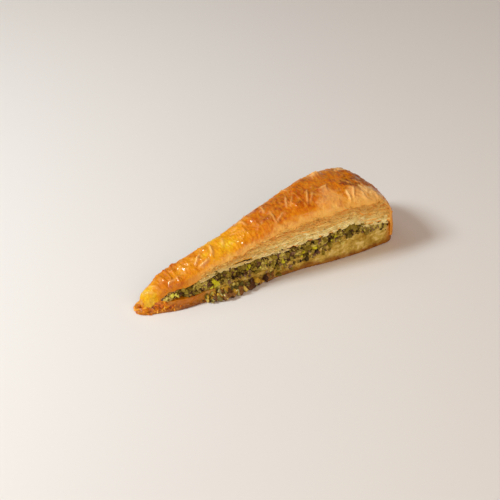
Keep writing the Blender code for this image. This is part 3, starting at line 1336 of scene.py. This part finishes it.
@dataclass
class Heap:
    """Many bits of one kind, joined in one piece.

    Args:
        name: The piece's name.
        finish: Its finish.
        slot: The name of a material slot; not used.
        shapes: The shapes that its bits are copies of.
        seed: Picks shapes, turns and tints.
    """

    name: str
    finish: BitFinish
    slot: str
    shapes: list[Shape]
    seed: int
    bits: list[tuple[Shape, float]] = field(default_factory=list)

    def __post_init__(self) -> None:
        """Sets up the random numbers."""
        self.rng = np.random.default_rng(self.seed)

    def add(self, place: Array, size: float, turn: Array | None = None,
            tint: float | None = None) -> None:
        """Adds a bit, above the floor.

        Args:
            place: Where its middle is.
            size: Its size across.
            turn: Its rotation, random if left out.
            tint: Its tint from 0 to 1, random if left out.
        """
        shape, faces = self.shapes[self.rng.integers(len(self.shapes))]
        bit = shape @ (turned(self.rng) if turn is None else turn).T * size + place
        bit[:, 2] += max(0.0, 0.05 * MM - bit[:, 2].min())
        self.bits.append(((bit, faces), self.rng.random() if tint is None else tint))

    def build(self) -> None:
        """Builds the joined piece."""
        obj = assembled(self.name, [shape for shape, _ in self.bits])
        paint(obj, tint=np.concatenate([np.full(len(s[0]), tint) for s, tint in self.bits]))
        finish_piece(obj, self.finish.make(), smooth_angle=35)


@dataclass
class LeafCrumbs:
    """The shreds and crumbs that cling to the leaf edges of the cut faces.

    Args:
        gauge: The frame's sizes.
        crust: The crust above the leaves.
        shreds: How many shreds each face has.
        crumbs: How many crumbs each face has.
        ends: How far they stay from the frame's two ends.
        finish: Their finish.
    """

    gauge: Gauge
    crust: Crust
    shreds: int = 520
    crumbs: int = 420
    ends: tuple[float, float] = (38 * MM, 9 * MM)
    finish: BitFinish = BitFinish("leaf crumbs", srgb(238, 226, 158), srgb(234, 198, 112),
                                  srgb(214, 146, 46), 0.0, patchy=0.3)

    def _spot(self, rng: np.random.Generator, side: Side, sink: float) -> tuple[Array, float]:
        """A random place among the leaf edges, and a tint for it.

        Args:
            rng: Draws the place.
            side: The cut face.
            sink: How far it may lie behind the face.

        Returns:
            The place, and the tint.
        """
        x = rng.uniform(LOW_X + self.ends[0], HIGH_X - self.ends[1])
        here = np.array([x])
        floor, roof = self.gauge.brim(here)[0], self.crust.edge(here)[0]
        share = 1.08 * rng.random()
        place = self.gauge.on_face(x, floor + 0.3 * MM + share * (roof - floor),
                                   -rng.uniform(0.1 * MM, sink), side)
        return place, 0.75 * share + rng.uniform(-0.15, 0.2)

    def build(self, nuts: list[Shape], flakes: list[Shape]) -> None:
        """Builds the shreds and the crumbs.

        Args:
            nuts: The shapes of the crumbs.
            flakes: The shapes of the shreds.
        """
        rng = np.random.default_rng(14)
        shreds = Heap("leaf_shreds", self.finish, "crust", flakes, seed=21)
        crumbs = Heap("leaf_crumbs", self.finish, "crust", nuts, seed=22)
        for side in Side:
            for _ in range(self.shreds):
                place, tint = self._spot(rng, side, 0.8 * MM)
                normal = np.array([0, side.value * rng.uniform(0.0, 0.7), 1.0])
                shreds.add(place, rng.uniform(1.0, 2.8) * MM, laid(rng, normal, 0.2), tint)
            for _ in range(self.crumbs):
                place, tint = self._spot(rng, side, 0.6 * MM)
                crumbs.add(place, rng.uniform(0.3, 0.8) * MM, tint=tint)
        shreds.build()
        crumbs.build()


# ---------------------------------------------------------------- the filling


@dataclass(frozen=True)
class Mix:
    """One kind of bit in the filling.

    Args:
        name: The piece's name.
        finish: Its finish.
        count: How many bits each cut face gets.
        smallest: The size of the smallest bits, in millimetres.
        largest: The size of the largest bits, in millimetres.
        proud: How far bits stand out of the face at most, in millimetres.
    """

    name: str
    finish: BitFinish
    count: int
    smallest: float
    largest: float
    proud: float


@dataclass
class Filling:
    """The layer of chopped pistachio: a darker core, near black as painted shade for the gaps,
    with nut bits over its cut faces.

    Args:
        gauge: The frame's sizes.
        voxel: The size of the core's faces.
        inset: How far the core stands back from the cut faces.
        ends: How far the bits stay from the frame's two ends.
        slides: Where nuts have slid down over the lower block, in millimetres: the X of the
            middle, how far they spread along the slice, and how far down they reach.
        clumps: X, Z and size of the larger green bits on the near cut face, in millimetres.
        accents: X, Z, size and tint of the bright bits that stand out there.
        mixes: The kinds of bit.
    """

    gauge: Gauge
    voxel: float = 0.8 * MM
    inset: float = 1.2 * MM
    ends: tuple[float, float] = (13 * MM, 9 * MM)
    slides: tuple[tuple[float, float, float], ...] = (
        (-26, 10, 7), (-20, 10, 6), (-34, 6, 5), (8, 9, 3), (27, 8, 3.2), (50, 16, 1.6))
    clumps: tuple[tuple[float, float, float], ...] = (
        (49, 20.4, 4.6), (52, 21.2, 4.8), (54.5, 19.4, 4.2), (50.5, 18.6, 4.0),
        (57, 18.4, 3.4), (46.5, 18.6, 3.6), (21, 13.4, 3.8), (-20, 12.4, 4.2),
        (32, 15, 3.6), (-55, 8, 3.4))
    accents: tuple[tuple[float, float, float, float], ...] = (
        (-38.4, 9.4, 3.6, 0.4), (-37.4, 7.0, 3.2, 0.5), (-41, 6.6, 2.4, 0.7),
        (-64, 7.6, 3.0, 0.8), (-61, 7.4, 2.2, 1.0), (5, 8.8, 3.0, 0.6), (18, 11.2, 2.4, 0.4),
        (25.5, 12.4, 2.4, 0.4), (51.5, 19, 2.2, 0.0), (62, 17.4, 2.4, 0.2),
        (38, 15.5, 2.6, 0.0), (-16, 12, 2.6, 0.1))
    mixes: tuple[Mix, ...] = (
        Mix("bright_nuts", BitFinish("bright nut", srgb(176, 166, 16), srgb(216, 210, 36),
                                     srgb(232, 226, 100)), 22, 1.2, 2.4, 0.7),
        Mix("green_nuts", BitFinish("green nut", srgb(74, 58, 10), srgb(156, 134, 38),
                                    srgb(222, 206, 108)), 400, 1.2, 4.4, 0.8),
        Mix("nut_skins", BitFinish("nut skin", srgb(52, 28, 18), srgb(108, 72, 48),
                                   srgb(164, 130, 104)), 230, 1.0, 3.2, 0.6),
        Mix("nut_meal", BitFinish("nut meal", srgb(76, 56, 12), srgb(144, 118, 42),
                                  srgb(206, 180, 96)), 900, 0.5, 1.4, 0.8),
    )

    def _core(self) -> None:
        """Builds the paste behind the bits, which replaces the frame's filling; its near-black
        colour is partly painted shade for the gaps.
        """
        obj = kneaded("pistachio_filling", "filling_core", self.voxel, 4)
        p, n = corners(obj), outward(obj)
        rough = 0.5 * MM * grain(p, 2.0 * MM, 70, 2)
        move_corners(obj, p + n * ((rough - self.inset) * np.abs(n[:, 1]))[:, None])
        paint(obj, tint=0.5 + 0.5 * grain(p, 2.5 * MM, 71, 2))
        # the core is coloured near black: a darker paste, and painted shade for the gaps between
        # the bits
        paste_and_shade = BitFinish("nut paste and painted shade", srgb(20, 12, 2), srgb(48, 30, 6), srgb(86, 60, 14), 0.0)
        finish_piece(obj, paste_and_shade.make(), ("pistachio_filling",))

    def _height(self, x: float, share: float, side: Side) -> float:
        """The height of a share of the filling, from 0 at its foot to 1 at its top.

        Args:
            x: The place along the slice.
            share: The share of the filling.
            side: The cut face.

        Returns:
            The height.
        """
        here = np.array([x])
        ragged = 0.5 * MM * grain(np.array([[x, side.value, 0.0]]), (3 * MM, 1, 1), 75, 2)[0]
        floor = self.gauge.sill(here)[0]
        return floor + share * (self.gauge.brim(here)[0] - floor + ragged)

    @staticmethod
    def _tint(rng: np.random.Generator, place: Array) -> float:
        """A random tint that leans to light or dark from patch to patch."""
        patch = grain(place[None, :], 6 * MM, 76, 2)[0]
        return float(np.clip(rng.uniform(0.1, 0.9) + 0.55 * patch, 0, 1))

    def _scatter(self, heap: Heap, mix: Mix, rng: np.random.Generator) -> None:
        """Scatters bits over both cut faces, and lets some slide down.

        Args:
            heap: Takes the bits.
            mix: The kind of bit.
            rng: Draws the places and the sizes.
        """
        low, high = LOW_X + self.ends[0], HIGH_X - self.ends[1]
        spread, proud = (mix.largest - mix.smallest) * MM, mix.proud * MM
        for side in Side:
            for _ in range(mix.count):
                x, share = rng.uniform(low, high), rng.uniform(0.0, 1.0)
                size = mix.smallest * MM + spread * rng.random() ** 2.2
                out = rng.uniform(-1.2, 1) * proud - 0.5 * size
                out -= min(0.7 * MM, 0.4 * size) * share ** 3
                place = self.gauge.on_face(x, self._height(x, share, side), out, side)
                heap.add(place, size, tint=self._tint(rng, place))
            for number in range(mix.count // 4):
                middle, width, drop = self.slides[number % len(self.slides)]
                x = np.clip(rng.normal(middle, width) * MM, low, high)
                size = mix.smallest * MM + 0.7 * spread * rng.random() ** 1.6
                z = self._height(x, 0.0, side) - drop * MM * rng.random() ** 1.3
                out = rng.random() * proud - 0.1 * size
                place = self.gauge.on_face(x, max(z, 0.3 * size), out, side)
                heap.add(place, size, tint=self._tint(rng, place))

    def build(self, nuts: list[Shape]) -> None:
        """Builds the core and the bits.

        Args:
            nuts: The shapes of the bits.
        """
        self._core()
        rng = np.random.default_rng(8)
        placed = {"green_nuts": [(*clump, 0.35) for clump in self.clumps],
                  "bright_nuts": self.accents}
        for mix in self.mixes:
            heap = Heap(mix.name, mix.finish, "filling", nuts, seed=mix.count)
            self._scatter(heap, mix, rng)
            for x, z, size, tint in placed.get(mix.name, ()):
                heap.add(self.gauge.on_face(x * MM, z * MM, -0.18 * size * MM), size * MM,
                         tint=tint)
            heap.build()


# ---------------------------------------------------------------- the lower block


@dataclass
class Base:
    """The soaked leaves below, browned underneath.

    Args:
        gauge: The frame's sizes.
        voxel: The size of its faces.
        layers: How many pressed leaves can be told apart.
        browned: How high the browned base reaches.
    """

    gauge: Gauge
    voxel: float = 0.48 * MM
    layers: int = 7
    browned: float = 2.6 * MM

    def build(self) -> None:
        """Builds the piece that replaces the frame's lower block."""
        obj = kneaded("bottom_pastry", "soaked_base", self.voxel, 5)
        p, n = corners(obj), outward(obj)
        flat = p * (1, 1, 0)
        along, seam = self.gauge.along(p[:, 0]), self.gauge.seam(p[:, 0])
        level = self.layers * p[:, 2] / np.maximum(seam, 1 * MM) + 0.7 * grain(flat, 9 * MM, 80, 2)
        rise = self.browned * (1 + 0.4 * grain(flat, 5 * MM, 83, 2))
        rise += 2.6 * MM * ease(along, 0.92, 1.0)
        move = 0.14 * MM * np.abs(np.sin(math.pi * level)) ** 0.6 - 0.30 * MM
        move += 0.30 * MM * grain(p, (2.0 * MM, 2.0 * MM, 1.6 * MM), 81, 3)
        move += 0.35 * MM * grain(p, 5 * MM, 84, 2) + 0.25 * MM * ease(p[:, 2], rise, 0.7 * rise)
        move *= ease(np.hypot(n[:, 0], n[:, 1]), 0.4, 0.8)
        # a sharp foot: the lowest edge is pushed out to where the rounded copy lost it
        low = ease(p[:, 2], 2.0 * MM, 0.6 * MM) * ease(-n[:, 2], 0.9, 0.5)
        move = move * (1 - low) + 1.0 * MM * low
        move += ease(n[:, 2], 0.4, 0.8) * 0.2 * MM * grain(p, 2 * MM, 82, 3)
        moved = p + n * move[:, None]
        moved[:, 2] += (self.gauge.sill(p[:, 0]) - seam) * ease(p[:, 2], 0.5 * seam, seam)
        moved[:, 2] = np.maximum(moved[:, 2], 0.0)
        move_corners(obj, moved)
        base = np.maximum(ease(p[:, 2], 1.7 * rise, 0.2 * rise), ease(-n[:, 2], 0.3, 0.6))
        paint(obj, base=base * ease(along, -0.05, 0.2),
              amber=ease(along, 0.34, 0.14) + 0.9 * ease(along, 0.93, 0.975))
        finish_piece(obj, SoakedFinish().make(), ("bottom_pastry",))


@dataclass
class Crumbs:
    """Bits of nut and pastry that have fallen at the foot of the near cut face.

    Args:
        gauge: The frame's sizes.
        spread: Where they start, lie thickest and stop, along X.
        reach: How far out of the face they lie at most.
        kinds: The finish of each kind, and how many bits it has; the first gets the lumps.
        lumps: The larger golden lumps, in millimetres: X, how far out, Z and size.
    """

    gauge: Gauge
    spread: tuple[float, float, float] = (-47 * MM, -32 * MM, 0 * MM)
    reach: float = 3.6 * MM
    kinds: tuple[tuple[BitFinish, int], ...] = (
        (BitFinish("golden_crumbs", srgb(150, 104, 16), srgb(196, 152, 40), srgb(222, 196, 96),
                   0.3), 100),
        (BitFinish("green_crumbs", srgb(92, 82, 30), srgb(136, 122, 56), srgb(176, 160, 96)), 130),
        (BitFinish("brown_crumbs", srgb(54, 26, 8), srgb(104, 60, 18), srgb(150, 102, 44)), 260),
    )
    lumps: tuple[tuple[float, float, float, float], ...] = (
        (-41, 1.0, 4.0, 2.6), (-38, 2.6, 1.4, 3.4), (-32, 1.6, 3.2, 4.4), (-29, 2.4, 1.6, 3.2),
        (-14.5, 1.4, 3.4, 4.2), (-12, 1.2, 1.8, 3.0), (-17.5, 1.8, 1.6, 3.0),
        (-35, 0.8, 5.0, 2.4))

    def build(self, nuts: list[Shape]) -> None:
        """Builds the crumbs of each kind.

        Args:
            nuts: The shapes of the crumbs.
        """
        rng = np.random.default_rng(12)
        for finish, count in self.kinds:
            heap = Heap(finish.name, finish, "filling", nuts, seed=90 + count)
            for _ in range(count):
                x = rng.triangular(*self.spread)
                size = (0.7 + 3.0 * rng.random() ** 2.4) * MM
                out = rng.random() ** 1.5 * self.reach * hill(x, -31 * MM, 20 * MM)
                z = size * 0.3 + rng.random() ** 2 * max(3.4 * MM - out, 0.3 * MM)
                out += rng.uniform(-0.3, 0.5) * MM + 0.3 * size
                heap.add(self.gauge.on_face(x, z, out), size)
            if finish is self.kinds[0][0]:
                for x, out, z, size in self.lumps:
                    heap.add(self.gauge.on_face(x * MM, z * MM, out * MM), size * MM, tint=0.5)
            heap.build()


@dataclass
class TipFlakes:
    """Crumpled flakes and small brittle ones that lie at the pointed end.

    Args:
        gauge: The frame's sizes.
        cells: How many faces a crumpled flake has along and across.
        shards: How many small flakes there are.
        finish: Their finish.
        crumpled: The crumpled flakes: length, width and place in millimetres, their direction
            from +X and how far they are stood up towards the near side, in degrees.
    """

    gauge: Gauge
    cells: tuple[int, int] = (64, 44)
    shards: int = 170
    finish: BitFinish = BitFinish("caramel flakes", srgb(120, 40, 2), srgb(216, 116, 2),
                                  srgb(244, 176, 20), 0.5, 3 * MM, 2.6)
    crumpled: tuple[tuple[float, float, tuple[float, float, float], float, float], ...] = (
        (17, 12.5, (-75.5, -0.8, 1.6), 0, 6),
        (11, 5, (-76, -4.6, 2.6), -14, 34),
        (8, 4.6, (-70.8, -7, 5), -16, 66))

    def _crumpled(self, number: int, length: float, width: float, middle: Sequence[float],
                  turn: float, tilt: float) -> bpy.types.Object:
        """Models one crumpled flake, sizes in millimetres.

        Args:
            number: Its number, which picks its folds.
            length: Its length.
            width: Its width.
            middle: Its place.
            turn: Its direction, in degrees from +X.
            tilt: How far it is stood up towards the near side, in degrees.

        Returns:
            The flake, with its place and its size in the mesh.
        """
        bpy.ops.mesh.primitive_grid_add(x_subdivisions=self.cells[0],
                                        y_subdivisions=self.cells[1], size=2.0)
        obj = added(f"tip flake {number}")
        p = corners(obj)
        wide = 0.5 * width * np.sqrt(np.clip(1.02 - np.abs(p[:, 0]) ** 2.4, 0.03, 1))
        rim = np.column_stack([p[:, 0], np.sign(p[:, 1]), p[:, 0] * 0 + number])
        wide = wide * (1 + 0.22 * grain(rim, (0.25, 1, 1), 91, 3))
        q = np.column_stack([p[:, 0] * 0.5 * length, p[:, 1] * wide, p[:, 0] * 0])
        q[:, 2] = 0.9 * creases(q + number * 40, (4, 2.6, 1), 92, 2.0)
        q[:, 2] += 0.35 * grain(q * (1, 1, 0) + number * 40, (1.6, 1.6, 1), 93, 2)
        q[:, 2] -= 0.9 * np.abs(p[:, 1]) ** 2.5 + 0.5 * np.abs(p[:, 0]) ** 3
        q = MM * (swung(swung(q, 1, 2, tilt), 0, 1, turn) + np.array(middle))
        q[:, 2] = np.maximum(q[:, 2], 0.3 * MM)
        move_corners(obj, q)
        modified(obj, "SOLIDIFY", thickness=0.45 * MM, offset=0.0)
        return obj

    def _shards(self, flakes: list[Shape]) -> None:
        """Scatters the small flakes round the point.

        Args:
            flakes: Their shapes.
        """
        rng = np.random.default_rng(31)
        heap = Heap("tip_shards", self.finish, "soaked_pastry", flakes, seed=32)
        for _ in range(self.shards):
            x = LOW_X + rng.triangular(0.5, 5.0, 24.0) * MM
            z = 0.4 * MM + 3.2 * MM * rng.random() ** 1.6
            across = -1.0 if rng.random() < 0.75 else rng.uniform(-1.0, 1.0)
            reach = self.gauge.wall(np.array([x]), np.array([0.8 * MM]))[0] - 0.3 * z
            heap.add(np.array([x, across * reach, z]), rng.uniform(1.0, 3.2) * MM,
                     laid(rng, np.array([-0.5, across, 0.9]), 0.5), rng.uniform(0.2, 0.85))
        heap.build()

    def build(self, flakes: list[Shape]) -> None:
        """Builds the crumpled flakes as one piece and the small ones as another.

        Args:
            flakes: The shapes of the small flakes.
        """
        self._shards(flakes)
        large = [self._crumpled(number, *sizes) for number, sizes in enumerate(self.crumpled)]
        choose(large[0])
        for flake in large[1:]:
            flake.select_set(True)
        bpy.ops.object.join()
        obj = added("tip_flakes")
        paint(obj, tint=np.full(len(obj.data.vertices), 0.55))
        finish_piece(obj, self.finish.make(), smooth_angle=50)


# ---------------------------------------------------------------- the studio


@dataclass(frozen=True)
class Lamp:
    """A square soft light that faces the slice.

    Args:
        name: Its name.
        azimuth: Where it stands round the slice, in degrees from -Y towards +X.
        elevation: How high it stands, in degrees.
        distance: How far it is, in metres.
        size: Its side, in metres.
        power: Its strength in watts.
        colour: Its colour.
    """

    name: str
    azimuth: float
    elevation: float
    distance: float
    size: float
    power: float
    colour: Colour


@dataclass
class Studio:
    """The floor, the lights and the camera.

    Args:
        azimuth: Where the camera stands round the slice, in degrees from -Y towards +X.
        elevation: How high it looks down from, in degrees.
        roll: How far it leans, in degrees.
        distance: How far it is from its aim.
        aim: The point that it looks at.
        lens: Its focal length in millimetres.
        sensor: The width of its sensor in millimetres.
        lamps: The lights.
        sky: The colour of the light from all round.
        sky_strength: The strength of that light.
    """

    azimuth: float = -30.3
    elevation: float = 34.14
    roll: float = 2.09
    distance: float = 681.6 * MM
    aim: tuple[float, float, float] = (-9.9 * MM, -3.5 * MM, 16 * MM)
    lens: float = 85.0
    sensor: float = 36.0
    lamps: tuple[Lamp, ...] = (
        Lamp("key", -114, 42, 1.0, 0.26, 9.0, (0.82, 0.94, 1.0)),
        Lamp("back window", -160, 46, 1.1, 0.45, 1.0, (0.98, 0.99, 1.0)),
        Lamp("front fill", -5, 31, 1.6, 1.6, 14.6, (1.0, 0.80, 0.66)))
    sky: Colour = (1.0, 0.84, 0.71)
    sky_strength: float = 0.22

    @staticmethod
    def _direction(azimuth: float, elevation: float) -> Vector:
        """The unit vector towards a place round the slice, in degrees."""
        a, e = math.radians(azimuth), math.radians(elevation)
        return Vector((math.sin(a) * math.cos(e), -math.cos(a) * math.cos(e), math.sin(e)))

    @staticmethod
    def _placed(name: str, data: bpy.types.ID, place: Vector, back: Vector) -> bpy.types.Object:
        """Adds a camera or a light that looks against a direction.

        Args:
            name: Its name.
            data: The camera or the light.
            place: Where it stands.
            back: The direction that it faces away from.

        Returns:
            The new object.
        """
        obj = bpy.data.objects.new(name, data)
        obj.location = place
        obj.rotation_euler = (-back).to_track_quat("-Z", "Y").to_euler()
        bpy.context.collection.objects.link(obj)
        return obj

    def _camera(self) -> None:
        """Sets up the camera."""
        data = bpy.data.cameras.new("camera")
        data.lens = self.lens
        data.sensor_width = self.sensor
        data.clip_start = 0.01
        back = self._direction(self.azimuth, self.elevation)
        obj = self._placed("camera", data, Vector(self.aim) + back * self.distance, back)
        obj.rotation_euler.rotate_axis("Z", math.radians(-self.roll))
        bpy.context.scene.camera = obj

    def _light(self, lamp: Lamp) -> None:
        """Adds a light.

        Args:
            lamp: The light's sizes.
        """
        data = bpy.data.lights.new(lamp.name, "AREA")
        data.shape = "SQUARE"
        data.size = lamp.size
        data.energy = lamp.power
        data.color = lamp.colour
        back = self._direction(lamp.azimuth, lamp.elevation)
        self._placed(lamp.name, data, back * lamp.distance, back)

    def build(self) -> None:
        """Builds the floor, the camera, the lights and the surroundings."""
        bpy.ops.mesh.primitive_plane_add(size=8.0, location=(0, 0, 0))
        floor = added("floor")
        floor.data.materials.append(FloorFinish().make())
        self._camera()
        for lamp in self.lamps:
            self._light(lamp)
        world = bpy.data.worlds.new("studio")
        world.use_nodes = True
        background = world.node_tree.nodes["Background"]
        background.inputs["Color"].default_value = (*self.sky, 1.0)
        background.inputs["Strength"].default_value = self.sky_strength
        bpy.context.scene.world = world
        bpy.context.scene.view_settings.view_transform = "Standard"


def main() -> None:
    """Builds the slice and the studio."""
    logging.basicConfig(level=logging.INFO, format="%(name)s: %(message)s")
    bpy.ops.object.select_all(action="DESELECT")
    gauge = Gauge()
    Studio().build()
    crust = Crust(gauge)
    crust.build()
    Leaves(gauge, crust).build()
    Base(gauge).build()
    shapes = BitShapes()
    nuts, flakes = shapes.nuts(), shapes.flakes()
    LeafCrumbs(gauge, crust).build(nuts, flakes)
    Filling(gauge).build(nuts)
    Crumbs(gauge).build(nuts)
    TipFlakes(gauge).build(flakes)


if __name__ == "__main__":
    main()
